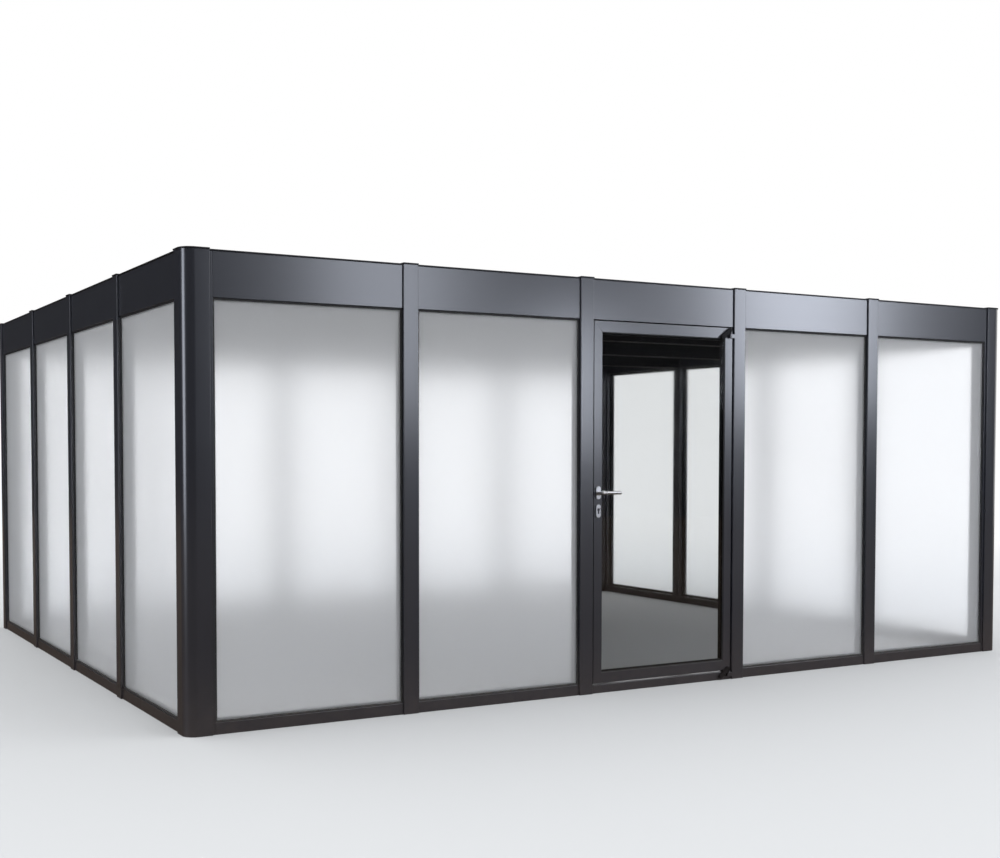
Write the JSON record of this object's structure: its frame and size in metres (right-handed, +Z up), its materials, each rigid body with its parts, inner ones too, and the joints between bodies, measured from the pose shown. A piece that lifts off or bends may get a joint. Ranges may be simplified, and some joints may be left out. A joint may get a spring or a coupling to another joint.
{
  "type": "greenhouse",
  "caption": "Flat-roofed garden greenhouse with a dark metal frame, frosted panes on all sides and a clear hinged door with a lever handle.",
  "frame": {"origin": "middle of the footprint's bounding box, outer door handle included, at ground level", "axes": "+Z up, -Y out of the door wall, +X to the right as seen from in front of the door"},
  "size_m": [5.878, 4.799, 2.4],
  "materials": {
    "frame_metal": "satin",
    "black_metal": "satin",
    "roof_metal": "matte",
    "frosted_glass": "frosted",
    "clear_glass": "clear",
    "black_rubber": "matte",
    "satin_steel": "satin"
  },
  "bodies": {
    "house": {"corner_posts": "frame_metal", "corner_adapters": "frame_metal", "front_mullions": "frame_metal", "right_mullions": "frame_metal", "back_mullions": "frame_metal", "left_mullions": "frame_metal", "front_fascia": "frame_metal", "right_fascia": "frame_metal", "back_fascia": "frame_metal", "left_fascia": "frame_metal", "front_base_rails": "frame_metal", "right_base_rails": "frame_metal", "back_base_rails": "frame_metal", "left_base_rails": "frame_metal", "front_panes": "frosted_glass", "right_panes": "frosted_glass", "back_panes": "frosted_glass", "left_panes": "frosted_glass", "pane_gaskets": "black_rubber", "glazing_beads": "frame_metal", "fascia_caps": "black_metal", "post_caps": "black_metal", "roof_panels": "frosted_glass", "roof_battens": "roof_metal", "roof_beams": "frame_metal", "roof_ledgers": "frame_metal", "door_threshold": "frame_metal", "door_stops": "frame_metal", "door_seals": "black_rubber", "strike_plate": "satin_steel", "hinge_brackets": "frame_metal"},
    "door": {"door_hinge_stile": "frame_metal", "door_lock_stile": "frame_metal", "door_top_rail": "frame_metal", "door_bottom_rail": "frame_metal", "door_pane": "clear_glass", "door_gasket": "black_rubber", "door_bead": "frame_metal", "hinge_arms": "black_metal", "handle_roses": "satin_steel", "key_escutcheons": "satin_steel", "lock_cylinders": "satin_steel"},
    "handle": {"outer_lever": "satin_steel", "inner_lever": "satin_steel", "lever_spindle": "satin_steel"}
  },
  "joints": [
    {"name": "door_swing", "type": "hinge", "parent": "house", "child": "door", "pos_m": [0.487, -2.3445, 0], "axis": [0, 0, 1], "range_deg": [0, 100]},
    {"name": "handle_turn", "type": "hinge", "parent": "door", "child": "handle", "pos_m": [-0.4825, -2.3445, 1.165], "axis": [0, 1, 0], "range_deg": [0, 40], "stiffness_Nm_per_rad": 1, "springref_deg": -45.84}
  ]
}
